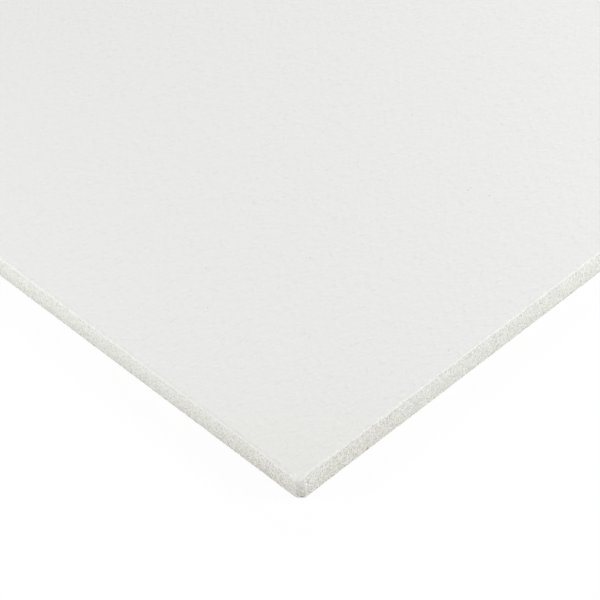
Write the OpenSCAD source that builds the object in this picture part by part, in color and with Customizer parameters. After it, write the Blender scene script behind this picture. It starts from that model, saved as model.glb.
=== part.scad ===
// Square-edge lay-in ceiling tile: one board of mineral fibre with a painted face.
// The board lies on its back with the face up, centred on the origin, back at Z = 0.
// The two sides face along X, the two ends face along Y, and the corners are blunted.

/* [Ceiling grid] */
// Module of the ceiling grid across X, from the centre of one tee to the next
module_x = 609.6; // [300:0.1:1220]
// Module of the ceiling grid along Y, from the centre of one tee to the next
module_y = 609.6; // [300:0.1:1220]
// Lay-in clearance, how much smaller than its module the board is cut
lay_in_clearance = 6.35; // [3:0.05:12]

/* [Board] */
// Thickness from the back to the painted face
board_t = 15.875; // [12:0.125:25]

/* [Face arris] */
// Radius rolled on the face arris of the two sides
side_arris_r = 0.9; // [0.3:0.1:3]
// Radius rolled on the face arris of the two ends, which the paint softens more
end_arris_r = 1.5; // [0.3:0.1:3]
// Radius rolled on the face arris of the four blunted corners
corner_arris_r = 1.2; // [0.3:0.1:3]

/* [Back arris] */
// Width of the small 45 degree bevel that wear leaves all round the back
back_bevel = 0.6; // [0.2:0.1:2]

/* [Corners] */
// Length that blunting takes off each of the two edges at a corner
corner_blunt = 3.2; // [1:0.1:10]

/* [Hidden] */
$fn = 64;

board_x = module_x - lay_in_clearance;
board_y = module_y - lay_in_clearance;
// Distance from the centre of the board to the flat of a blunted corner
blunt_reach = (board_x / 2 + board_y / 2 - corner_blunt) / sqrt(2);
// A slab of this length and width covers the whole board from any of its edges
slab_size = board_x + board_y;

// Each edge as the way it faces, its reach from the centre and its face arris
side_edges = [for (turn = [0, 180]) [turn, board_x / 2, side_arris_r]];
end_edges = [for (turn = [90, 270]) [turn, board_y / 2, end_arris_r]];
corner_edges = [for (turn = [45:90:315]) [turn, blunt_reach, corner_arris_r]];

// What rolling takes off the face corner of an edge section, which is at the origin
module arris_waste(r) {
    difference() {
        translate([-r, -r]) square(2 * r);
        translate([-r, -r]) circle(r);
    }
}

// What the bevel takes off the back corner of an edge section, which is at the origin
module bevel_waste(w) {
    polygon([[-2 * w, -w], [w, 2 * w], [w, -w]]);
}

// Section square to an edge, which is at X = 0: back bevel, cut edge, rolled arris
module edge_section(arris_r) {
    difference() {
        translate([-slab_size, 0]) square([slab_size, board_t]);
        translate([0, board_t]) arris_waste(arris_r);
        bevel_waste(back_bevel);
    }
}

// A slab with one finished edge, which faces along X at the given reach
module edge_slab(reach, arris_r) {
    translate([reach, 0, 0])
        rotate([90, 0, 0])
            linear_extrude(slab_size, center = true)
                edge_section(arris_r);
}

// The board is what all the slabs share, so each arris mitres into its neighbours
module tile_board() {
    color("#e8e8e6")
        intersection_for (edge = concat(side_edges, end_edges, corner_edges))
            rotate(edge[0]) edge_slab(edge[1], edge[2]);
}

tile_board();
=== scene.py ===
"""Square lay-in ceiling tile: one mineral fibre board with a painted face, seen at a corner.

The board's outline has eight edges: two sides, two ends and four blunted corners. Its skin is
built as rings of points round that outline, from the back, over the cut edge and the rolled
face arris, to the flat face. The board's relief and wear then move those points: waves of the
face, torn fibre, chips, rounded arrises and corners that are pressed down. The materials paint
the face, lap that paint over the arrises, and grain the cut fibre and the back. They make the
paint and the cut fibre darker towards the corners, paint shade along the foot of the cut fibre,
in its chips, in the pinholes and on the edges far from the near corner, and paint highlight on
the arrises, the lip of the paint and the slopes of the dents.
Lengths are in millimetres until a mesh is written.
"""
import math
from dataclasses import dataclass

import bpy
import numpy as np
from mathutils import Matrix, Vector
from mathutils.geometry import delaunay_2d_cdt


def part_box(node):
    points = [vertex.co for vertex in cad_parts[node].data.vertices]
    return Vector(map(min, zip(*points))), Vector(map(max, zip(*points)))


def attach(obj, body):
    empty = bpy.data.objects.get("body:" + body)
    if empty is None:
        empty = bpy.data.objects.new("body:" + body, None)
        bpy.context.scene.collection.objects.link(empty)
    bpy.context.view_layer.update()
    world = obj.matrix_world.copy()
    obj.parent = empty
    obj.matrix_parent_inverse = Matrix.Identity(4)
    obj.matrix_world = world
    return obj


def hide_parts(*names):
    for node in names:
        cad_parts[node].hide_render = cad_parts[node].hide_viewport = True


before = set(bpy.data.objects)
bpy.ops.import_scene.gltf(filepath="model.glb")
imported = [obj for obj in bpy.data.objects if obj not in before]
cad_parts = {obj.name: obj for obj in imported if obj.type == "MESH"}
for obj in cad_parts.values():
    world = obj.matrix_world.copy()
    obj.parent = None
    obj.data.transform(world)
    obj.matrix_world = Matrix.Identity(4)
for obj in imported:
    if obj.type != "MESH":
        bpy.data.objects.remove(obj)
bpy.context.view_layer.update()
low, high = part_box("tile_board")

MM = 0.001
HALF_X, HALF_Y, THICK = high.x / MM, high.y / MM, high.z / MM

# Edge sizes, as in the part's source
SIDE_ARRIS, END_ARRIS, CORNER_ARRIS = 0.9, 1.5, 1.2
BACK_BEVEL = 0.6
CORNER_BLUNT = 3.2
HALF_FLAT = CORNER_BLUNT / math.sqrt(2)    # half the width of a blunted corner's flat

# Spacing of the mesh
EDGE_PITCH = 0.45
FACE_PITCH = 2.0
BACK_PITCH = 3.0
ARRIS_STEPS = 6
COLLAR = 0.6         # strip of flat face that the edge pieces carry past the arris
GRID_MARGIN = 7.0    # from the board's outline to the regular grid of the face and back
GRID_X, GRID_Y = HALF_X - GRID_MARGIN, HALF_Y - GRID_MARGIN
GRID_SLACK = 0.01    # how near to the rim of that grid a point has to be, to belong to it
RINGS = [(2.9, 0.9), (4.1, 1.3), (5.4, 1.6)]    # insets and pitches of the rings between them

# Lanes that the map of an edge band is cut into, and the gap beside each as a share of a lane
LANES, LANE_MARGIN = 6, 0.03


# ---------------------------------------------------------------- noise

NOISE_ORIGIN = 1000.0    # cells away from the board's middle, so that no cell has a negative number


def lattice(cells, seed):
    """A random number from -1 to 1 for each integer cell."""
    mix = cells.astype(np.uint64) * np.array([73856093, 19349663, 83492791], np.uint64)
    h = mix[:, 0] ^ mix[:, 1] ^ mix[:, 2] ^ np.uint64(seed * 2654435761)
    h = (h ^ (h >> np.uint64(15))) * np.uint64(2246822519)
    h = (h ^ (h >> np.uint64(13))) * np.uint64(3266489917)
    h = (h ^ (h >> np.uint64(16))) & np.uint64(0xFFFFFF)
    return h.astype(float) / 0x7FFFFF - 1.0


def noise(points, size, seed):
    """Smooth noise from -1 to 1, with lumps of about the given size."""
    p = points / size + NOISE_ORIGIN
    cell = np.floor(p).astype(np.int64)
    f = p - cell
    f = f * f * (3 - 2 * f)
    total = np.zeros(len(p))
    for corner in np.ndindex(2, 2, 2):
        share = np.prod(np.where(np.array(corner) == 1, f, 1 - f), axis=1)
        total += share * lattice(cell + corner, seed)
    return total


def layered(points, layers, start=0.0):
    """Noise added up, layer by layer: the height of each, the size of its lumps and its seed."""
    total = start
    for height, size, seed in layers:
        total = total + height * noise(points, size, seed)
    return total


def ramp(value, start, end):
    """0 at start and 1 at end, smooth between, either way round."""
    t = np.clip((value - start) / (end - start), 0, 1)
    return t * t * (3 - 2 * t)


def pitted(points, depth, size, seed, start, full):
    """How deep some pits are: none where the noise is below start, and the full depth past full."""
    return depth * ramp(noise(points, size, seed), start, full)


def mound(points, middle, radius):
    """1 at the middle of a round mound, and 0 past its radius."""
    reach = np.linalg.norm(points - middle, axis=1) / radius
    return np.clip(1 - reach ** 2, 0, 1)


# ---------------------------------------------------------------- outline

EDGE_COUNT = 8
BLUNT_REACH = (HALF_X + HALF_Y - CORNER_BLUNT) / math.sqrt(2)
# Each edge as the way it faces, its reach from the centre and its face arris radius
EDGES = []
for quarter in range(4):
    along_x = quarter % 2 == 0
    EDGES.append((90 * quarter, HALF_X if along_x else HALF_Y, SIDE_ARRIS if along_x else END_ARRIS))
    EDGES.append((90 * quarter + 45, BLUNT_REACH, CORNER_ARRIS))
LONG_EDGES = (0, 2, 4, 6)    # the sides and ends; the corners' flats come between them


def facing(edge):
    """The way an edge faces, as a unit vector in plan."""
    turn = math.radians(EDGES[edge % EDGE_COUNT][0])
    return np.array([math.cos(turn), math.sin(turn)])


def outline_corner(edge, insets):
    """Where an edge meets the next one, with both moved in by their insets."""
    here, there = edge % EDGE_COUNT, (edge + 1) % EDGE_COUNT
    reach = [EDGES[here][1] - insets[here], EDGES[there][1] - insets[there]]
    return np.linalg.solve([facing(here), facing(there)], reach)


def edge_profile(radius):
    """Rows of a section from back to face: inset, height, and the normal's angle of rise."""
    rows = [
        (BACK_BEVEL, 0.0, -75.0),
        (BACK_BEVEL / 2, BACK_BEVEL / 2, -45.0),
        (0.0, BACK_BEVEL, -15.0),
    ]
    count = round((THICK - END_ARRIS - BACK_BEVEL) / EDGE_PITCH)
    for z in np.linspace(BACK_BEVEL, THICK - radius, count + 1)[1:]:
        rows.append((0.0, z, 0.0))
    for step in range(1, ARRIS_STEPS + 1):
        rise = math.pi / 2 * step / ARRIS_STEPS
        inset, drop = radius * (1 - math.cos(rise)), radius * (1 - math.sin(rise))
        rows.append((inset, THICK - drop, math.degrees(rise)))
    rows.append((radius + COLLAR, THICK, 90.0))
    return rows


PROFILES = [edge_profile(radius) for _, _, radius in EDGES]
ROWS = len(PROFILES[0])


def edge_ends(edge, row):
    """The two corners that a row of an edge's profile runs between."""
    insets = [profile[row][0] for profile in PROFILES]
    return outline_corner(edge - 1, insets), outline_corner(edge, insets)


def edge_points(edge, row, count):
    """Points of one profile row along an edge, both corners included, with their normals."""
    height, rise = PROFILES[edge][row][1:]
    start, end = edge_ends(edge, row)
    share = np.linspace(0, 1, count + 1)[:, None]
    plan = start + (end - start) * share
    # Heights and angles run into the neighbours' over half a corner's flat
    length = np.linalg.norm(end - start)
    heights, rises = np.full(count + 1, height), np.full(count + 1, rise)
    for other, distance in ((edge - 1, share[:, 0] * length), (edge + 1, (1 - share[:, 0]) * length)):
        _, other_height, other_rise = PROFILES[other % EDGE_COUNT][row]
        weight = 0.5 * (1 - np.clip(distance / HALF_FLAT, 0, 1))
        heights += weight * (other_height - height)
        rises += weight * (other_rise - rise)
    normals = np.tile(facing(edge), (count + 1, 1))
    normals[0] += facing(edge - 1)
    normals[-1] += facing(edge + 1)
    normals /= np.linalg.norm(normals, axis=1)[:, None]
    up = np.radians(rises)[:, None]
    points = np.column_stack([plan, heights])
    return points, np.column_stack([normals * np.cos(up), np.sin(up)])


# ---------------------------------------------------------------- relief

# Layers of noise: height, size of the lumps and seed; the back's heights are shares of a hollow
FACE_WAVES = [(0.02, 95, 1), (0.006, 31, 2), (0.003, 9, 3)]
BACK_LUMPS = [(0.25, 26, 4), (0.25, 8, 5)]
EDGE_FIBRE = [(0.05, 11, 6), (0.04, 3.1, 7), (0.06, 1.3, 8)]
ARRIS_FIBRE = [(0.2, 1.4, 11)]
# Pits: depth, size, seed, and the noise at which they start and are full
EDGE_PORES = (0.35, 1.7, 9, 0.48, 0.85)
ARRIS_CHIPS = (0.35, 2.6, 10, 0.35, 0.8)
BEVEL_NICKS = (0.3, 1.9, 12, 0.3, 0.75)
# The deepest hollow of the back, and how far in the cut fibre stands as a whole
BACK_HOLLOW, EDGE_SUNK = 0.16, 0.06

# Angles of rise, in degrees, over which one kind of surface gives way to the next
FACE_STARTS, BACK_STARTS, EDGE_ENDS = (45, 88), (-20, -74), (20, 80)
ARRIS_STARTS, ARRIS_ENDS = (5, 40), (60, 88)
BEVEL_STARTS, BEVEL_ENDS = (-2, -15), (-45, -74)

# Chips and pits of the cut edge: millimetres from the near corner along the end and the side,
# height, radius and the darkness of the painted shade in them
CHIPS = [
    (0.9, 1.6, 0.6, 1.2, 1.0),
    (0.5, 2.7, 3.4, 0.5, 0.4),
    (1.8, 1.4, 4.4, 0.6, 0.5),
    (2.8, 0.4, 5.8, 0.6, 0.5),
    (1.2, 2.0, 7.8, 0.5, 0.5),
    (2.5, 0.7, 9.2, 0.5, 0.4),
    (0.0, 3.9, 2.8, 0.5, 0.5),
    (0.0, 47.6, 1.3, 1.0, 1.0),
    (0.0, 205.2, 1.2, 0.8, 1.0),
]
CHIP_DEPTH = 0.6    # as a share of a chip's radius
# A crumb that sticks to the side by the near corner
CRUMB, CRUMB_RADIUS, CRUMB_HEIGHT = (HALF_X, 3.9 - HALF_Y, 9.9), 1.0, 1.0
# How much the upright arrises beside the corners' flats are rounded off, and over what reach
CORNER_WEAR, WEAR_REACH = 0.15, 2.0

# The board is pressed down at its corners: how far in from the side and the end the middle of
# the dent is, its reach and depth, and how far below the face the board gives
DENT_IN_X, DENT_IN_Y, DENT_REACH, DENT_DEPTH = 2.0, 0.5, 5.0, 2.6
DENT_HEIGHT = 9.0
# The near corner is dented most, paint laps thickest and carries most painted highlight round it,
# and far from it the cut edges have a painted shade: x less y where that starts and where it is
# full, and the share of the dent that the other corners have
NEAR_FROM, NEAR_TO = 150.0, 340.0
SLIGHT = 0.35


def face_relief(p):
    """Height of the painted face: the pressed board's slow waves and the paint's soft lumps."""
    return layered(p * [1, 1, 0], FACE_WAVES)


def back_relief(p):
    """Height of the bare back, which never rises past its own plane."""
    return BACK_HOLLOW * layered(p * [1, 1, 0], BACK_LUMPS, 0.5)


def edge_relief(p):
    """How far the cut fibre stands out: lumps, grains and torn pores."""
    return layered(p, EDGE_FIBRE) - pitted(p, *EDGE_PORES) - EDGE_SUNK


def arris_chips(p):
    """How deep the rolled arris is nicked."""
    return layered(p, ARRIS_FIBRE, pitted(p, *ARRIS_CHIPS))


def bevel_nicks(p):
    """How deep the arris of the back is nicked."""
    return pitted(p, *BEVEL_NICKS)


def chip_centre(chip):
    """The middle of a chip, from its distances to the near corner."""
    along_end, along_side, height = chip[:3]
    return np.array([HALF_X - along_end, along_side - HALF_Y, height])


def corner_wear(points):
    """The move in plan that rounds off the arris where a long edge meets its blunted corner."""
    move = np.zeros((len(points), 2))
    for edge in LONG_EDGES:
        arris = outline_corner(edge, [0.0] * EDGE_COUNT)
        inward = -(facing(edge) + facing(edge + 1))
        inward /= np.linalg.norm(inward)
        near = np.clip(1 - np.linalg.norm(points[:, :2] - arris, axis=1) / WEAR_REACH, 0, 1)
        move += CORNER_WEAR * inward * near[:, None] ** 2
    return move


def dents(points):
    """How far the board is pressed down at its corners, less and less below the face."""
    off_x, off_y = HALF_X - np.abs(points[:, 0]), HALF_Y - np.abs(points[:, 1])
    distance = np.hypot(off_x - DENT_IN_X, off_y - DENT_IN_Y)
    near = ramp(points[:, 0] - points[:, 1], NEAR_FROM, NEAR_TO)
    depth = DENT_DEPTH * (SLIGHT + (1 - SLIGHT) * near)
    return depth * ramp(distance, DENT_REACH, 0) * ramp(points[:, 2], THICK - DENT_HEIGHT, THICK)


def displaced(points, normals):
    """The points moved along their normals by the relief of the surface that they lie on."""
    rise = np.degrees(np.arcsin(np.clip(normals[:, 2], -1, 1)))
    on_face = ramp(rise, *FACE_STARTS)
    on_back = ramp(rise, *BACK_STARTS)
    on_edge = (1 - ramp(rise, *EDGE_ENDS)) * (1 - on_back)
    on_arris = ramp(rise, *ARRIS_STARTS) * (1 - ramp(rise, *ARRIS_ENDS))
    on_bevel = ramp(rise, *BEVEL_STARTS) * (1 - ramp(rise, *BEVEL_ENDS))
    move = on_face * face_relief(points)
    move += on_edge * edge_relief(points)
    move -= on_arris * arris_chips(points) + on_bevel * bevel_nicks(points)
    for chip in CHIPS:
        move -= CHIP_DEPTH * chip[3] * mound(points, chip_centre(chip), chip[3])
    move += CRUMB_HEIGHT * mound(points, np.array(CRUMB), CRUMB_RADIUS)
    moved = points + normals * move[:, None]
    moved[:, :2] += corner_wear(points)
    moved[:, 2] += on_back * back_relief(points) - dents(points)
    moved[:, 2] = np.maximum(moved[:, 2], 0.0)
    return moved


# ---------------------------------------------------------------- meshes

def make_piece(name, points, faces, material):
    """A smooth mesh piece of the board, from points in millimetres."""
    mesh = bpy.data.meshes.new(name)
    mesh.from_pydata((points * MM).tolist(), [], faces)
    mesh.shade_smooth()
    mesh.materials.append(material)
    piece = bpy.data.objects.new(name, mesh)
    bpy.context.scene.collection.objects.link(piece)
    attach(piece, "root")
    return piece


def grid_faces(wide, deep):
    """The squares between points that stand in rows: how many in a row, and how many rows."""
    squares = []
    for row in range(deep - 1):
        for column in range(wide - 1):
            at = row * wide + column
            squares.append((at, at + 1, at + 1 + wide, at + wide))
    return squares


def band_row(edge, row):
    """One row of the piece that takes in an edge and the blunted corner after it."""
    rows = []
    for part in (edge, (edge + 1) % EDGE_COUNT):
        start, end = edge_ends(part, 0)
        steps = max(2, round(np.linalg.norm(end - start) / EDGE_PITCH))
        rows.append(edge_points(part, row, steps))
    (first, first_n), (second, second_n) = rows
    return np.vstack([first, second[1:]]), np.vstack([first_n, second_n[1:]])


def unroll(mesh, edge, steps):
    """The map for baked textures: the long band is cut into lanes, one above another."""
    outline = np.array([row[:2] for row in PROFILES[edge]])
    lengths = np.linalg.norm(np.diff(outline, axis=0), axis=1)
    shares = np.concatenate([[0], np.cumsum(lengths)]) / lengths.sum()
    lane_steps = math.ceil(steps / LANES)
    row, column = np.divmod(np.arange((ROWS - 1) * steps), steps)
    u = ((column % lane_steps)[:, None] + np.array([0, 1, 1, 0])) / lane_steps
    v = shares[row[:, None] + np.array([0, 0, 1, 1])]
    v = (column // lane_steps)[:, None] + LANE_MARGIN + (1 - 2 * LANE_MARGIN) * v
    u = LANE_MARGIN / LANES + (1 - 2 * LANE_MARGIN / LANES) * u
    layer = mesh.uv_layers.new(name="OFBake")
    layer.data.foreach_set("uv", np.stack([u, v / LANES], axis=-1).ravel())


def edge_band(name, edge, material):
    """A cut edge with its back bevel, its rolled face arris and its corner."""
    rows = [band_row(edge, row) for row in range(ROWS)]
    width = len(rows[0][0])
    points = displaced(np.vstack([r[0] for r in rows]), np.vstack([r[1] for r in rows]))
    piece = make_piece(name, points, grid_faces(width, ROWS), material)
    unroll(piece.data, edge, width - 1)
    return piece


def rim_loop(row):
    """The closed loop that the four edge bands share with the face or the back."""
    parts = [band_row(edge, row) for edge in LONG_EDGES]
    return np.vstack([p[:-1] for p, _ in parts]), np.vstack([n[:-1] for _, n in parts])


def inset_loop(inset, pitch):
    """Points round the outline at one inset, at about the given pitch."""
    insets = [inset] * EDGE_COUNT
    loop = []
    for edge in range(EDGE_COUNT):
        start, end = outline_corner(edge - 1, insets), outline_corner(edge, insets)
        count = max(1, round(np.linalg.norm(end - start) / pitch))
        loop.append(start + (end - start) * (np.arange(count) / count)[:, None])
    return np.vstack(loop)


def grid_points(pitch):
    """A regular grid over the middle of the board, row by row, and how many points a row has."""
    count_x, count_y = round(2 * GRID_X / pitch), round(2 * GRID_Y / pitch)
    xs = np.linspace(-GRID_X, GRID_X, count_x + 1)
    ys = np.linspace(-GRID_Y, GRID_Y, count_y + 1)
    return np.array([(x, y) for y in ys for x in xs]), len(xs)


def past_grid(place, slack=0.0):
    """Whether a place in plan is outside the grid, or within the slack of its rim."""
    return abs(place[0]) > GRID_X - slack or abs(place[1]) > GRID_Y - slack


def joining_faces(grid, rim, rings):
    """Triangles from the rim, over the rings, to the grid; points are numbered grid, rim, rings."""
    border = [i for i, place in enumerate(grid) if past_grid(place, GRID_SLACK)]
    # The triangulation keeps what is inside the rim, also over the grid, which has its own squares
    plan = np.vstack([rim[:, :2], rings, grid[border]])
    index = np.concatenate([len(grid) + np.arange(len(rim) + len(rings)), border])
    outer = [(i, (i + 1) % len(rim)) for i in range(len(rim))]
    triangles = delaunay_2d_cdt([Vector(p) for p in plan], outer, [], 1, 1e-6)[2]
    faces = []
    for triangle in triangles:
        if past_grid(plan[triangle].mean(axis=0)):
            faces.append(tuple(int(i) for i in index[triangle]))
    return faces


def sheet(name, row, pitch, height, relief, material):
    """The flat face or back: a regular grid, joined to the edge bands by finer rings."""
    rim = displaced(*rim_loop(row))
    grid, wide = grid_points(pitch)
    rings = np.vstack([inset_loop(inset, ring_pitch) for inset, ring_pitch in RINGS])
    faces = grid_faces(wide, len(grid) // wide) + joining_faces(grid, rim, rings)
    if height == 0:
        faces = [face[::-1] for face in faces]
    inner = np.vstack([grid, rings])
    inner = np.column_stack([inner, np.full(len(inner), height)])
    inner[:, 2] += relief(inner) - dents(inner)
    points = np.vstack([inner[:len(grid)], rim, inner[len(grid):]])
    return make_piece(name, points, faces, material)


# ---------------------------------------------------------------- materials

# A noise texture is given by its size in millimetres, its seed, its detail and its roughness
SEED_STEP = (37.0, -19.0, 53.0)    # how far each seed moves its texture


class Shading:
    """The node tree of one material, whose textures are sized in millimetres."""

    def __init__(self, name, roughness):
        self.material = bpy.data.materials.new(name)
        self.material.use_nodes = True
        self.tree = self.material.node_tree
        self.shader = self.tree.nodes["Principled BSDF"]
        self.shader.inputs["Roughness"].default_value = roughness
        place = self.tree.nodes.new("ShaderNodeTexCoord").outputs["Object"]
        self.place = self.vector("MULTIPLY", place, (1 / MM, 1 / MM, 1 / MM))
        split = self.tree.nodes.new("ShaderNodeSeparateXYZ")
        self.tree.links.new(self.place, split.inputs[0])
        self.x, self.y, self.z = split.outputs

    def put(self, value, socket):
        """A socket is linked, and a plain value is set."""
        if isinstance(value, bpy.types.NodeSocket):
            self.tree.links.new(value, socket)
        else:
            socket.default_value = value

    def node(self, kind, *values, **settings):
        """A node with its settings, and its inputs filled in their order."""
        node = self.tree.nodes.new("ShaderNode" + kind)
        for key, value in settings.items():
            setattr(node, key, value)
        for socket, value in zip(node.inputs, values):
            self.put(value, socket)
        return node

    def vector(self, operation, first, second):
        return self.node("VectorMath", first, second, operation=operation).outputs["Vector"]

    def distance(self, first, second):
        return self.node("VectorMath", first, second, operation="DISTANCE").outputs["Value"]

    def maths(self, operation, *values):
        return self.node("Math", *values, operation=operation).outputs[0]

    def plus(self, first, second):
        return self.maths("ADD", first, second)

    def minus(self, first, second):
        return self.maths("SUBTRACT", first, second)

    def times(self, first, second):
        return self.maths("MULTIPLY", first, second)

    def smaller(self, first, second):
        return self.maths("MINIMUM", first, second)

    def larger(self, first, second):
        return self.maths("MAXIMUM", first, second)

    def length(self, x, y):
        """How long a step of x one way and y the other is."""
        return self.maths("SQRT", self.plus(self.times(x, x), self.times(y, y)))

    def texture(self, kind, size, seed, drawn):
        """A texture node that is scaled to a size in millimetres and moved by its seed."""
        moved = self.vector("ADD", self.place, [seed * step for step in SEED_STEP])
        scaled = self.vector("DIVIDE", moved, [size * s for s in drawn])
        return self.node(kind, scaled)

    def noise(self, size, seed, detail=2.0, roughness=0.5, drawn=(1, 1, 1)):
        """Fractal noise about 0.5."""
        node = self.texture("TexNoise", size, seed, drawn)
        node.inputs["Scale"].default_value = 1.0
        node.inputs["Detail"].default_value = detail
        node.inputs["Roughness"].default_value = roughness
        return node.outputs["Fac"]

    def grains(self, size, seed, drawn):
        """A random value for each grain."""
        node = self.texture("TexVoronoi", size, seed, drawn)
        node.inputs["Scale"].default_value = 1.0
        return node.outputs["Color"]

    def ramp(self, value, start, end, low=0.0, high=1.0):
        """From low at start to high at end, smooth between."""
        node = self.node("MapRange", value, start, end, low, high, interpolation_type="SMOOTHSTEP")
        return node.outputs["Result"]

    def slope(self, value, start, end):
        """From 0 at start to 1 at end, in a straight line."""
        return self.node("MapRange", value, start, end, 0.0, 1.0).outputs["Result"]

    def mix(self, share, first, second):
        """The first colour, with a share of the second."""
        # A Mix node keeps its colours in inputs 6 and 7 and in output 2
        node = self.node("Mix", data_type="RGBA")
        self.put(share, node.inputs[0])
        self.put(first, node.inputs[6])
        self.put(second, node.inputs[7])
        return node.outputs[2]

    def bump(self, height, distance, under=None):
        """A normal for a height of 0 to 1 that stands for this many millimetres."""
        node = self.node("Bump")
        node.inputs["Distance"].default_value = distance * MM
        self.put(height, node.inputs["Height"])
        if under is not None:
            self.put(under, node.inputs["Normal"])
        return node.outputs["Normal"]

    def finish(self, colour, normal):
        self.put(colour, self.shader.inputs["Base Color"])
        self.put(normal, self.shader.inputs["Normal"])
        return self.material


# ---------------------------------------------------------------- places in the materials

# How far past the dents their change of the paint, its lap and the painted highlight on their slopes,
# reaches beyond the dent of the mesh
DENT_FADE = 0.6
# A distance that is longer than any on the board
FAR_OFF = 1000.0


def off_edges(shading):
    """How far in from the sides, and from the ends."""
    off_x = shading.minus(HALF_X, shading.maths("ABSOLUTE", shading.x))
    off_y = shading.minus(HALF_Y, shading.maths("ABSOLUTE", shading.y))
    return off_x, off_y


def off_corner(shading):
    """How far in from a side and from an end, added up."""
    return shading.plus(*off_edges(shading))


def handled(shading, reach):
    """1 at the corners, and 0 past a reach from them."""
    return shading.ramp(off_corner(shading), reach, 0)


def by_rim(shading, reach):
    """1 at the rim of the face, and 0 past a reach from it."""
    return shading.ramp(shading.smaller(*off_edges(shading)), reach, 0)


def near_corner(shading, least=0.0):
    """1 well round the near corner, and the least value far from it."""
    return shading.ramp(shading.minus(shading.x, shading.y), NEAR_FROM, NEAR_TO, least, 1.0)


def dented(shading):
    """1 in the middle of the dents at the corners, and 0 past their reach."""
    off_x, off_y = off_edges(shading)
    in_x, in_y = shading.minus(off_x, DENT_IN_X), shading.minus(off_y, DENT_IN_Y)
    return shading.slope(shading.length(in_x, in_y), DENT_REACH + DENT_FADE, 0.0)


def on_face(along_end, along_side):
    """A place on the face, from its distances to the near corner."""
    return HALF_X - along_end, along_side - HALF_Y, THICK


def shortest(shading, distances):
    """The shortest of some distances."""
    least = FAR_OFF
    for distance in distances:
        least = shading.smaller(least, distance)
    return least


# ---------------------------------------------------------------- paint

PAINT = (0.804, 0.8045, 0.788, 1)
PAINT_THIN = (0.803, 0.8035, 0.787, 1)
# Pale paint where it lies thick, and painted highlight on the arrises, the lip and the slopes of the dents
PAINT_THICK_AND_HIGHLIGHT = (0.935, 0.938, 0.902, 1)
# Darker, warmer paint towards the corners
PAINT_CORNER_TONE = (0.775, 0.774, 0.742, 1)
# Painted shade in the pinholes, which is also the colour of the faint drag marks and the curl
MARK_AND_PINHOLE_SHADE = (0.3, 0.3, 0.28, 1)
PAINT_ROUGHNESS = 0.7

# Noise textures
CLOUD = (60, 1, 3)
SPECKS = (1.4, 15, 1)
END_LUMPS = (2.4, 16, 1)
PEEL_COARSE = (4.2, 2, 1)
PEEL_PATCHES = (22, 12, 2)
PEEL_FINE = (1.8, 3, 1)
PEEL_LUMPS = (2.1, 13, 1)
# How the specks and the orange peel are drawn out along X, Y and Z
SPECKS_DRAWN, PEEL_DRAWN = (1, 1.6, 1), (1.0, 2.1, 1)
# Heights of the bumps
COARSE_BUMP, FINE_BUMP, LUMP_BUMP, HOLE_BUMP = 0.26, 0.25, 0.17, 0.2

# How far from a corner the paint is darker and warmer, and how fast that falls off
CORNER_TONE_REACH, CORNER_TONE_POWER = 180.0, 3.0
# How far from a corner orange peel is rubbed flat, and the share of it that is left at the corner
RUBBED_REACH, RUBBED = 22, 0.4
# How far in from the board's rim the orange peel is stronger, and how strong at the rim
PEEL_RIM, RIM_PEEL = 9, 1.4
# How far in from the ends the paint is lumpy round the near corner, over a band of painted highlight
END_LIP = 2.8
# How much painted highlight lies on the slopes of the dents, against their shade
DENT_HIGHLIGHT = 3.3

# Marks in the paint: millimetres from the near corner along the end and the side
PINHOLES = [(112, 117), (87, 216), (124, 52), (157, 174), (8.5, 117), (155, 242), (147, 72), (75, 221)]
PINHOLE_RADIUS = 0.3
DRAG_LENGTH = 4.0
# The curl that a hair left, as an arc: middle, radius, and the angles where it starts and ends
CURL_MIDDLE, CURL_RADIUS, CURL_TURN = (23.6, 10.6), 3.0, (80, 190)
CURL_WIDTH = 0.5
CURL_STEPS = 9
# How dark the drag marks and the curl are
DRAWN_DARK = 0.1


def paint_thickness_and_highlight(shading):
    """How pale the paint is: thick specks all over, lumps along the ends over a band of painted highlight,
    and painted highlight on the slopes of the dents.
    """
    specks = shading.ramp(shading.noise(*SPECKS, drawn=SPECKS_DRAWN), 0.6, 0.78, high=0.23)
    # The low value 0.2 is a painted highlight under the lumps, against the shade of the strong orange peel
    # at the rim
    lumps = shading.ramp(shading.noise(*END_LUMPS), 0.6, 0.66, low=0.2)
    at_end = shading.ramp(off_edges(shading)[1], END_LIP, 0.0, high=near_corner(shading))
    at_end = shading.times(lumps, at_end)
    # Painted highlight on the slopes of the dents, strongest halfway, against their shade
    flank = shading.smaller(dented(shading), 0.5)
    dent_highlight = shading.times(flank, shading.minus(1.0, flank))
    dent_highlight = shading.times(dent_highlight, shading.times(near_corner(shading, SLIGHT), DENT_HIGHLIGHT))
    return shading.larger(shading.larger(specks, at_end), dent_highlight)


def paint_colour(shading):
    """Matt paint, a little uneven, darker and warmer at the corners, and pale where it lies thick and where
    it carries painted highlight.
    """
    cloud = shading.ramp(shading.noise(*CLOUD), 0.3, 0.7)
    even = shading.mix(cloud, PAINT_THIN, PAINT)
    toward_corner = shading.slope(off_corner(shading), CORNER_TONE_REACH, 0.0)
    corner_toned = shading.mix(shading.maths("POWER", toward_corner, CORNER_TONE_POWER), even, PAINT_CORNER_TONE)
    return shading.mix(paint_thickness_and_highlight(shading), corner_toned, PAINT_THICK_AND_HIGHLIGHT)


def pinholes(shading):
    """1 inside the pinholes of the paint."""
    holes = (shading.distance(shading.place, on_face(*hole)) for hole in PINHOLES)
    return shading.ramp(shortest(shading, holes), PINHOLE_RADIUS, PINHOLE_RADIUS / 2)


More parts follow.
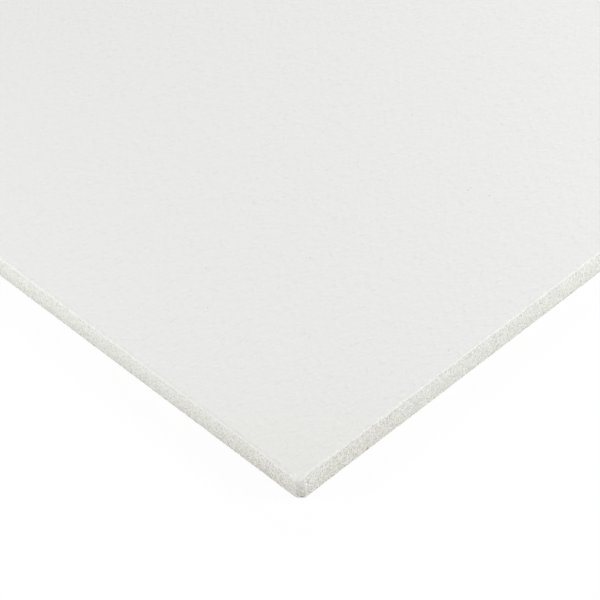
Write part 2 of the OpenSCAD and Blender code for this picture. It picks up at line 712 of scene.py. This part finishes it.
def drag_mark(shading, hole):
    """The distance to the short line along Y that starts at a pinhole."""
    offset = shading.vector("SUBTRACT", shading.place, on_face(*hole))
    along = shading.vector("MINIMUM", offset, (0, DRAG_LENGTH, 0))
    along = shading.vector("MAXIMUM", along, (0, 0, 0))
    return shading.distance(offset, along)


def drag_marks(shading):
    """1 on the short lines that the roller drew out of the pinholes."""
    marks = (drag_mark(shading, hole) for hole in PINHOLES)
    return shading.ramp(shortest(shading, marks), PINHOLE_RADIUS, PINHOLE_RADIUS / 2)


def curl_point(turn):
    """The place on the curl at an angle."""
    along_end = CURL_MIDDLE[0] + CURL_RADIUS * math.cos(turn)
    along_side = CURL_MIDDLE[1] + CURL_RADIUS * math.sin(turn)
    return on_face(along_end, along_side)


def curl(shading):
    """1 on the curl."""
    turns = np.radians(np.linspace(*CURL_TURN, CURL_STEPS))
    points = (shading.distance(shading.place, curl_point(turn)) for turn in turns)
    return shading.ramp(shortest(shading, points), CURL_WIDTH, CURL_WIDTH / 2)


def orange_peel(shading, under):
    """Soft lumps of rolled paint, drawn out a little along Y, stronger in patches and at the rim."""
    coarse = shading.bump(shading.noise(*PEEL_COARSE, drawn=PEEL_DRAWN), COARSE_BUMP, under)
    patches = shading.ramp(shading.noise(*PEEL_PATCHES), 0.4, 0.6, 0.8, 0.9)
    strong = shading.larger(patches, shading.times(by_rim(shading, PEEL_RIM), RIM_PEEL))
    strong = shading.times(strong, shading.ramp(handled(shading, RUBBED_REACH), 0, 1, 1.0, RUBBED))
    fine = shading.noise(*PEEL_FINE, drawn=PEEL_DRAWN)
    fine = shading.bump(shading.times(fine, strong), FINE_BUMP, coarse)
    lumps = shading.ramp(shading.noise(*PEEL_LUMPS, drawn=PEEL_DRAWN), 0.55, 0.8)
    return shading.bump(shading.times(lumps, strong), LUMP_BUMP, fine)


def make_face_paint():
    """The painted face, with its orange peel, its marks and painted shade in its pinholes."""
    shading = Shading("face_paint", PAINT_ROUGHNESS)
    drawn = shading.larger(drag_marks(shading), curl(shading))
    holes = pinholes(shading)
    marks = shading.larger(holes, shading.times(drawn, DRAWN_DARK))
    # The pinholes are painted dark, as painted shade in them; the drag marks and the curl are faint marks
    colour = shading.mix(marks, paint_colour(shading), MARK_AND_PINHOLE_SHADE)
    sunk = shading.bump(shading.minus(1.0, holes), HOLE_BUMP)
    return shading.finish(colour, orange_peel(shading, sunk))


# ---------------------------------------------------------------- cut fibre

FIBRE_DARK = (0.44, 0.435, 0.395, 1)
FIBRE_GREY = (0.64, 0.64, 0.595, 1)
# Darker fibre: painted shade along the foot of the cut edge, and a darker tone by the corners
FIBRE_DARKENED = (0.66, 0.645, 0.585, 1)
FIBRE_MID = (0.775, 0.781, 0.739, 1)
FIBRE_WARM = (0.785, 0.758, 0.697, 1)
FIBRE_PALE = (0.93, 0.93, 0.89, 1)
CRUMB_WHITE = (0.97, 0.965, 0.93, 1)
FIBRE_ROUGHNESS = 0.9

# Noise textures
GRAIN = (0.85, 4, 3, 0.7)
TORN = (5.0, 20, 2)
BLOTCHES = (3.0, 21, 1)
WARM_PATCHES = (16, 6, 2)
PITS = (1.3, 19, 1)
FOOT_NICKS = (1.4, 17, 2)
PALE_ARRIS_PATCHES = (2.2, 14, 2)
CUT_ROUGH = (0.9, 9, 3, 0.7)
# Grains: size and seed, their share beside the noise, and the mean of the two
CELLS, CELLS_SHARE = (0.6, 5), 0.4
MIXED_MEAN = 0.7
CUT_BUMP = 0.42    # height of the fibre's bump

# The fibre's contrast: away from the corners and at them, and where it is smooth and torn
CORNER_CONTRAST, TORN_CONTRAST = (0.86, 1.14), (0.84, 1.14)
# Tones at which each colour of the fibre starts and is full
PALE_TONES, GREY_TONES, DARK_TONES = (0.5, 0.7), (0.48, 0.34), (0.34, 0.22)
# How dark the pits of the fibre are, and the nicks of its foot, away from the corners and at them
PITTED, NICKS_DARK = 0.5, (0.4, 0.8)

# How far from a corner the grain is sharper and the fibre warmer, and the darkening of the foot climbs up
# the edge
HANDLED_REACH, FOOT_REACH = 100, 14
# Up to the first distance from a corner an edge has only its clean share of the corner's darker tone,
# and past the second it has all of it
CLEAN_FROM, CLEAN_TO = 8, 24
# Heights on the cut edge. The painted shade along the foot is full up to the first, and gone at the
# second or, at a corner, at the third, which is above the face, so that some of that darkening is
# left all the way up
FOOT_SHADE_FULL, FOOT_SHADE_TOP, CORNER_DARKENED_TOP = 0.8, 3.2, 44.0
# How dark the painted shade of the foot is
FOOT_SHADE = 0.45
# Heights where the nicks of the foot are full and end, and where the pale upright arris is full and ends
NICKS_FULL, NICKS_TOP = 1.0, 2.4
PALE_ARRIS_FULL, PALE_ARRIS_TOP = 9.5, 11.5
# Distances from the middle of the pale upright arris, where its paleness ends and where it is full
PALE_ARRIS_REACH, PALE_ARRIS_CORE = 0.95, 0.45
# The painted shade of the chips, and the crumb, end and are full at these shares of their radius
CHIP_RIM, CHIP_CORE = 1.25, 0.85
CRUMB_RIM, CRUMB_CORE = 1.3, 0.7
# Depths below the face: the mist of paint on the fibre is gone at the first and full at the second
MIST_NONE, MIST_FULL = 14.0, 5.0
# The flat of the near corner is paler: how far in from the side and the end that starts and is
# full, and two heights with the lift that the tone has at each
FLAT_RIM, FLAT_INNER = 0.1, 0.6
FLAT_FROM, FLAT_TO = 8, 12
FLAT_LIFT_LOW, FLAT_LIFT_HIGH = 0.06, 0.14
# The lift of the tone far from the near corner, which is a painted shade on the edges that the back lamp
# lights fully, and what a corner takes off it
FAR_SHADE_LIFT, CORNER_DARK = -0.06, 0.035


@dataclass
class EdgeLook:
    """What sets one kind of cut edge apart from the other; lengths are in millimetres."""
    arris: float        # radius of the face arris
    drawn: tuple        # how the grains are drawn out along X, Y and Z
    lap: float          # how far down the paint laps
    corner_lap: float   # the same at the corners
    ragged: float       # how far the paint's line wanders
    thick: float        # how thick the paint is at the lip and over the arris, with their painted highlight
    mist: float         # how much the paint mists the fibre below it
    clean: float        # the share of the corners' darker tone that the very corner has
    warm: float         # how warm the warm patches are
    corner_darkening: float         # how much darker the corners are
    blotched: float     # how uneven the tone is


SIDE_LOOK = EdgeLook(
    arris=SIDE_ARRIS, drawn=(1, 1, 1.4), lap=0.85, corner_lap=0.5, ragged=0.25, thick=0.9,
    mist=0.03, clean=0.0, warm=0.3, corner_darkening=0.5, blotched=0.025)
END_LOOK = EdgeLook(
    arris=END_ARRIS, drawn=(1.2, 1, 1), lap=1.4, corner_lap=1.8, ragged=0.45, thick=1.0,
    mist=0.1, clean=1.0, warm=0.6, corner_darkening=0.45, blotched=0.0)


def fibre_tone(shading, look, mixed, corners, lift):
    """The fibre's tone about 0.5, from its mixed grain: sharper at corners and where it is torn."""
    sharp = shading.times(mixed, shading.ramp(corners, 0, 1, *CORNER_CONTRAST))
    torn = shading.noise(*TORN)
    sharp = shading.times(sharp, shading.ramp(torn, 0.4, 0.62, *TORN_CONTRAST))
    uneven = shading.ramp(shading.noise(*BLOTCHES), 0.3, 0.7, -look.blotched, look.blotched)
    return shading.plus(shading.plus(sharp, uneven), shading.plus(lift, 0.5))


def fibre_ground(shading, look, corners):
    """The colour between the fibre's pale and dark grains: warm in patches, painted shade at the foot,
    darker by corners.
    """
    patches = shading.ramp(shading.noise(*WARM_PATCHES), 0.42, 0.7, high=look.warm)
    toward_corner = shading.larger(*off_edges(shading))
    toward_corner = shading.ramp(toward_corner, CLEAN_FROM, CLEAN_TO, low=look.clean)
    toward_corner = shading.times(corners, toward_corner)
    ground = shading.mix(shading.larger(toward_corner, patches), FIBRE_MID, FIBRE_WARM)
    top = shading.ramp(handled(shading, FOOT_REACH), 0, 1, FOOT_SHADE_TOP, CORNER_DARKENED_TOP)
    # Painted shade along the foot, which by a corner reaches all the way up the edge
    foot = shading.ramp(shading.z, top, FOOT_SHADE_FULL, high=FOOT_SHADE)
    darkened = shading.larger(shading.times(toward_corner, look.corner_darkening), foot)
    return shading.mix(darkened, ground, FIBRE_DARKENED)


def fibre_colour(shading, look, lift):
    """Cut mineral fibre: pale grains, grey pores, pits and dirt; a lift gives more of the pale."""
    grain = shading.noise(*GRAIN, look.drawn)
    cells = shading.times(shading.grains(*CELLS, look.drawn), CELLS_SHARE)
    mixed = shading.minus(shading.plus(grain, cells), MIXED_MEAN)
    corners = handled(shading, HANDLED_REACH)
    tone = fibre_tone(shading, look, mixed, corners, lift)
    colour = fibre_ground(shading, look, corners)
    colour = shading.mix(shading.ramp(tone, *PALE_TONES), colour, FIBRE_PALE)
    colour = shading.mix(shading.ramp(tone, *GREY_TONES), colour, FIBRE_GREY)
    colour = shading.mix(shading.ramp(tone, *DARK_TONES), colour, FIBRE_DARK)
    pits = shading.ramp(shading.noise(*PITS), 0.65, 0.71, high=PITTED)
    colour = shading.mix(pits, colour, FIBRE_DARK)
    nicks = shading.noise(*FOOT_NICKS)
    nicks = shading.ramp(nicks, 0.56, 0.68, high=shading.ramp(corners, 0, 1, *NICKS_DARK))
    nicks = shading.times(nicks, shading.ramp(shading.z, NICKS_TOP, NICKS_FULL))
    return shading.mix(nicks, colour, FIBRE_DARK)


def pale_upright_arris(shading):
    """1 by the upright arris between a side and its corner's flat, in patches."""
    off_x = shading.minus(shading.maths("ABSOLUTE", shading.x), HALF_X)
    off_y = shading.minus(shading.maths("ABSOLUTE", shading.y), HALF_Y - HALF_FLAT)
    near = shading.ramp(shading.length(off_x, off_y), PALE_ARRIS_REACH, PALE_ARRIS_CORE)
    paleness = shading.times(near, shading.ramp(shading.noise(*PALE_ARRIS_PATCHES), 0.35, 0.5))
    return shading.times(paleness, shading.ramp(shading.z, PALE_ARRIS_TOP, PALE_ARRIS_FULL))


def chip_shade(shading):
    """The painted shade of the chips: up to their darkness in their middle, 0 elsewhere."""
    total = 0.0
    for chip in CHIPS:
        distance = shading.distance(shading.place, tuple(chip_centre(chip)))
        spot = shading.ramp(distance, chip[3] * CHIP_RIM, chip[3] * CHIP_CORE, high=chip[4])
        total = shading.larger(total, spot)
    return total


def crumb(shading):
    """1 on the white crumb that sticks to the side by the near corner."""
    distance = shading.distance(shading.place, CRUMB)
    return shading.ramp(distance, CRUMB_RADIUS * CRUMB_RIM, CRUMB_RADIUS * CRUMB_CORE)


def fibre_lift(shading, misted, rim, near):
    """How much paler the fibre is: more on the near corner's flat, less by corners, and less far off, which
    is a painted shade.
    """
    flat = shading.ramp(shading.z, FLAT_FROM, FLAT_TO, FLAT_LIFT_LOW, FLAT_LIFT_HIGH)
    flat = shading.ramp(rim, FLAT_RIM, FLAT_INNER, high=flat)
    lift = shading.plus(misted, shading.times(flat, near))
    # Painted shade: the fibre is darker far from the near corner
    lift = shading.plus(lift, shading.ramp(near, 0, 1, FAR_SHADE_LIFT, 0.0))
    return shading.minus(lift, shading.ramp(handled(shading, FOOT_REACH), 0, 1, high=CORNER_DARK))


def worn_and_shaded_fibre(shading, look, lift):
    """Cut fibre with its pale upright arris, painted shade in its chips, and the crumb."""
    colour = fibre_colour(shading, look, lift)
    colour = shading.mix(pale_upright_arris(shading), colour, FIBRE_PALE)
    colour = shading.mix(chip_shade(shading), colour, FIBRE_DARK)
    return shading.mix(crumb(shading), colour, CRUMB_WHITE)


# ---------------------------------------------------------------- paint on the cut edges

# Noise textures
LAP_LINE = (1.8, 7, 3, 0.75)
LIP_PATCHES = (1.6, 18, 2)

# How far from a corner the lap of paint turns into the corner's own
WORN_REACH = 40
# The paint's line: how softly it ends, and in the dents how much further down it is, how much
# softer and how many times more ragged
LINE_FADE = 0.15
FOLD, FOLD_FADE, FOLD_RAGGED = 1.6, 1.1, 2.0
# The lip: how far above the paint's line its middle is, and how far from there it ends and is full
LIP_ABOVE, LIP_REACH, LIP_CORE = 0.4, 0.55, 0.2
# How far in from the rim the painted highlight on the paint over the arris starts and is full, as
# shares of the arris radius
HIGHLIGHT_FROM, HIGHLIGHT_FULL = 1.1, 0.4
# The share of the fibre's bump that shows through paint
PAINTED_ROUGH = 0.4


def paint_lap(shading, look, depth):
    """How far below the paint's ragged line a place is, and how painted that makes it."""
    wander = shading.ramp(shading.noise(*LAP_LINE), 0.25, 0.75, -look.ragged, look.ragged)
    fold = shading.times(dented(shading), near_corner(shading, SLIGHT))
    wander = shading.times(wander, shading.plus(1.0, shading.times(fold, FOLD_RAGGED)))
    reach = shading.ramp(handled(shading, WORN_REACH), 0, 1, look.lap, look.corner_lap)
    reach = shading.plus(reach, shading.times(fold, FOLD))
    past = shading.minus(shading.plus(depth, wander), reach)
    fade = shading.plus(LINE_FADE, shading.times(fold, FOLD_FADE))
    return past, shading.ramp(past, fade, -LINE_FADE)


def paint_with_arris_highlight(shading, look, rim, thick_and_highlight):
    """The paint's colour, with a painted highlight where it goes over the arris, against the arris's shade.
    """
    paler = shading.times(thick_and_highlight, 0.5)
    arris_highlight = shading.ramp(rim, look.arris * HIGHLIGHT_FROM, look.arris * HIGHLIGHT_FULL, high=paler)
    return shading.mix(arris_highlight, paint_colour(shading), PAINT_THICK_AND_HIGHLIGHT)


def paint_lip(shading, past, thick_and_highlight):
    """How much of the pale lip along the paint's line there is, thick paint with a painted highlight: more
    in patches.
    """
    off_lip = shading.maths("ABSOLUTE", shading.plus(past, LIP_ABOVE))
    lip = shading.ramp(off_lip, LIP_REACH, LIP_CORE, high=thick_and_highlight)
    return shading.times(lip, shading.ramp(shading.noise(*LIP_PATCHES), 0.4, 0.6, low=0.4))


def make_cut_edge(name, look):
    """Cut fibre; paint laps over its face arris and mists what is below."""
    shading = Shading(name, FIBRE_ROUGHNESS)
    depth = shading.minus(THICK, shading.z)
    misted = shading.ramp(depth, MIST_NONE, MIST_FULL, high=look.mist)
    rim = shading.smaller(*off_edges(shading))
    near = near_corner(shading)
    lift = fibre_lift(shading, misted, rim, near)
    fibre = worn_and_shaded_fibre(shading, look, lift)
    past, painted = paint_lap(shading, look, depth)
    # The lip and the paint over the arris carry a painted highlight round the near corner only
    thick_and_highlight = shading.times(near, look.thick)
    colour = shading.mix(painted, fibre, paint_with_arris_highlight(shading, look, rim, thick_and_highlight))
    colour = shading.mix(paint_lip(shading, past, thick_and_highlight), colour, PAINT_THICK_AND_HIGHLIGHT)
    rough = shading.noise(*CUT_ROUGH, look.drawn)
    rough = shading.times(rough, shading.ramp(painted, 0, 1, 1.0, PAINTED_ROUGH))
    return shading.finish(colour, shading.bump(rough, CUT_BUMP))


# ---------------------------------------------------------------- back

BACK_PORE = (0.46, 0.445, 0.4, 1)
BACK_DARK = (0.62, 0.605, 0.553, 1)
BACK_PALE = (0.7, 0.688, 0.635, 1)
BACK_BUMP = 0.3    # height of the felted bump

# Noise textures
MOTTLE = (14, 10, 4, 0.7)
BACK_PORES = (1.2, 22, 3, 0.6)
FELT = (1.8, 11, 3, 0.7)


def make_bare_back():
    """The bare back of the board, felted, pored and faintly mottled."""
    shading = Shading("bare_back", FIBRE_ROUGHNESS)
    mottle = shading.ramp(shading.noise(*MOTTLE), 0.2, 0.8)
    ground = shading.mix(mottle, BACK_DARK, BACK_PALE)
    pores = shading.ramp(shading.noise(*BACK_PORES), 0.56, 0.7, high=0.6)
    colour = shading.mix(pores, ground, BACK_PORE)
    return shading.finish(colour, shading.bump(shading.noise(*FELT), BACK_BUMP))


face_paint = make_face_paint()
cut_side = make_cut_edge("cut_side", SIDE_LOOK)
cut_end = make_cut_edge("cut_end", END_LOOK)
bare_back = make_bare_back()


# ---------------------------------------------------------------- the board

bands = [
    edge_band("edge_plus_x", 0, cut_side),
    edge_band("edge_plus_y", 2, cut_end),
    edge_band("edge_minus_x", 4, cut_side),
    edge_band("edge_minus_y", 6, cut_end),
]
face = sheet("painted_face", ROWS - 1, FACE_PITCH, THICK, face_relief, face_paint)
back = sheet("bare_back", 0, BACK_PITCH, 0.0, back_relief, bare_back)
for piece in (*bands, face, back):
    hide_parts("tile_board")


# ---------------------------------------------------------------- floor, light and camera

# Half the floor's width and how far it is below the board, in metres
FLOOR_REACH, FLOOR_DROP = 4.0, 0.0001
# How bright the floor is to the light's rays, and what the camera sees of it: shadow and glow
FLOOR_BOUNCE, FLOOR_SHADE, FLOOR_GLOW = 0.8, 0.1, 0.91
SKY_STRENGTH = 0.439
# The lamps are aimed at the face, this many metres behind the near corner
LAMP_TARGET = 0.12
# Name, then metres left, away and up from the near corner, size in metres and watts
SOFTBOXES = [
    ("lamp_left", 0.8, 0.0, 0.4, 0.4, 3.16),
    ("lamp_right", -1.0, 0.0, 0.5, 0.5, 6.02),
    ("lamp_back", -0.3, 2.4, 0.9, 0.8, 25.8),
    ("lamp_front", 0.0, -0.8, 0.12, 0.4, 1.19),
]
# The camera's angles in degrees; its distance from the foot of the near corner and its shifts to
# the left and up from there in metres; its lens and film in millimetres
CAMERA_AZIMUTH, CAMERA_ELEVATION, CAMERA_ROLL = 48.23, 44.13, -3.48
CAMERA_DISTANCE, CAMERA_LEFT, CAMERA_UP = 1.2, 0.00036, 0.10131
LENS, FILM = 143.51, 36.0


def grey(level):
    """A neutral colour."""
    return level, level, level, 1


def new_node(tree, kind, **values):
    """A shader node with plain values for the inputs that are named."""
    node = tree.nodes.new("ShaderNode" + kind)
    for name, value in values.items():
        node.inputs[name].default_value = value
    return node


def backdrop_share(tree):
    """1 for the camera's rays and for those that mirror or pass through, 0 for the light's own."""
    path = new_node(tree, "LightPath")
    share = path.outputs["Is Camera Ray"]
    for kind in ("Is Glossy Ray", "Is Transmission Ray"):
        either = new_node(tree, "Math")
        either.operation = "MAXIMUM"
        tree.links.new(share, either.inputs[0])
        tree.links.new(path.outputs[kind], either.inputs[1])
        share = either.outputs[0]
    return share


def show_backdrop(tree, lit, seen, output):
    """One shader for the light's own rays, and another where the backdrop is seen."""
    choose = new_node(tree, "MixShader")
    tree.links.new(backdrop_share(tree), choose.inputs[0])
    tree.links.new(lit.outputs[0], choose.inputs[1])
    tree.links.new(seen.outputs[0], choose.inputs[2])
    tree.links.new(choose.outputs[0], output.inputs["Surface"])


def floor_material():
    """Pale for the light, and white where it is seen, with a faint shadow of the board."""
    material = bpy.data.materials.new("floor")
    material.use_nodes = True
    tree = material.node_tree
    tree.nodes.clear()
    bounce = new_node(tree, "BsdfDiffuse", Color=grey(FLOOR_BOUNCE))
    shade = new_node(tree, "BsdfDiffuse", Color=grey(FLOOR_SHADE))
    glow = new_node(tree, "Emission", Strength=FLOOR_GLOW)
    seen = new_node(tree, "AddShader")
    tree.links.new(shade.outputs[0], seen.inputs[0])
    tree.links.new(glow.outputs[0], seen.inputs[1])
    show_backdrop(tree, bounce, seen, new_node(tree, "OutputMaterial"))
    return material


def make_floor():
    """A square floor, just under the board."""
    corners = [(-1, -1), (1, -1), (1, 1), (-1, 1)]
    mesh = bpy.data.meshes.new("floor")
    mesh.from_pydata([(FLOOR_REACH * x, FLOOR_REACH * y, 0) for x, y in corners], [], [(0, 1, 2, 3)])
    mesh.materials.append(floor_material())
    floor = bpy.data.objects.new("floor", mesh)
    floor.location.z = -FLOOR_DROP
    bpy.context.scene.collection.objects.link(floor)


def make_world():
    """Soft light from all round, behind a backdrop that is seen as white."""
    world = bpy.data.worlds.new("studio")
    bpy.context.scene.world = world
    world.use_nodes = True
    tree = world.node_tree
    sky = tree.nodes["Background"]
    sky.inputs["Color"].default_value = grey(1)
    sky.inputs["Strength"].default_value = SKY_STRENGTH
    white = new_node(tree, "Background", Color=grey(1), Strength=1.0)
    show_backdrop(tree, sky, white, tree.nodes["World Output"])


def softbox(name, left, away, up, size, power):
    """A square area lamp, placed from the near corner as the camera sees it, and aimed behind it."""
    lamp = bpy.data.lights.new(name, "AREA")
    lamp.size = size
    lamp.energy = power
    box = bpy.data.objects.new(name, lamp)
    azimuth = math.radians(CAMERA_AZIMUTH)
    right_way = Vector((math.cos(azimuth), math.sin(azimuth), 0))
    away_way = Vector((-math.sin(azimuth), math.cos(azimuth), 0))
    target = Vector((high.x, low.y, high.z)) + away_way * LAMP_TARGET
    box.location = target - right_way * left + away_way * (away - LAMP_TARGET) + Vector((0, 0, up))
    box.rotation_euler = (target - box.location).to_track_quat("-Z", "Y").to_euler()
    bpy.context.scene.collection.objects.link(box)


def make_camera():
    """A long lens on the corner where the plus X side meets the minus Y end."""
    azimuth, elevation = math.radians(CAMERA_AZIMUTH), math.radians(CAMERA_ELEVATION)
    roll = math.radians(CAMERA_ROLL)
    level = math.cos(elevation)
    back_way = Vector((math.sin(azimuth) * level, -math.cos(azimuth) * level, math.sin(elevation)))
    right = Vector((0, 0, 1)).cross(back_way).normalized()
    up = back_way.cross(right)
    right, up = (right * math.cos(roll) + up * math.sin(roll), up * math.cos(roll) - right * math.sin(roll))
    foot = Vector((high.x, low.y, low.z))
    place = foot + back_way * CAMERA_DISTANCE - right * CAMERA_LEFT + up * CAMERA_UP
    data = bpy.data.cameras.new("camera")
    data.lens = LENS
    data.sensor_width = FILM
    camera = bpy.data.objects.new("camera", data)
    camera.matrix_world = Matrix.Translation(place) @ Matrix((right, up, back_way)).transposed().to_4x4()
    bpy.context.scene.collection.objects.link(camera)
    bpy.context.scene.camera = camera


make_floor()
make_world()
for lamp in SOFTBOXES:
    softbox(*lamp)
make_camera()
bpy.context.scene.view_settings.view_transform = "Standard"
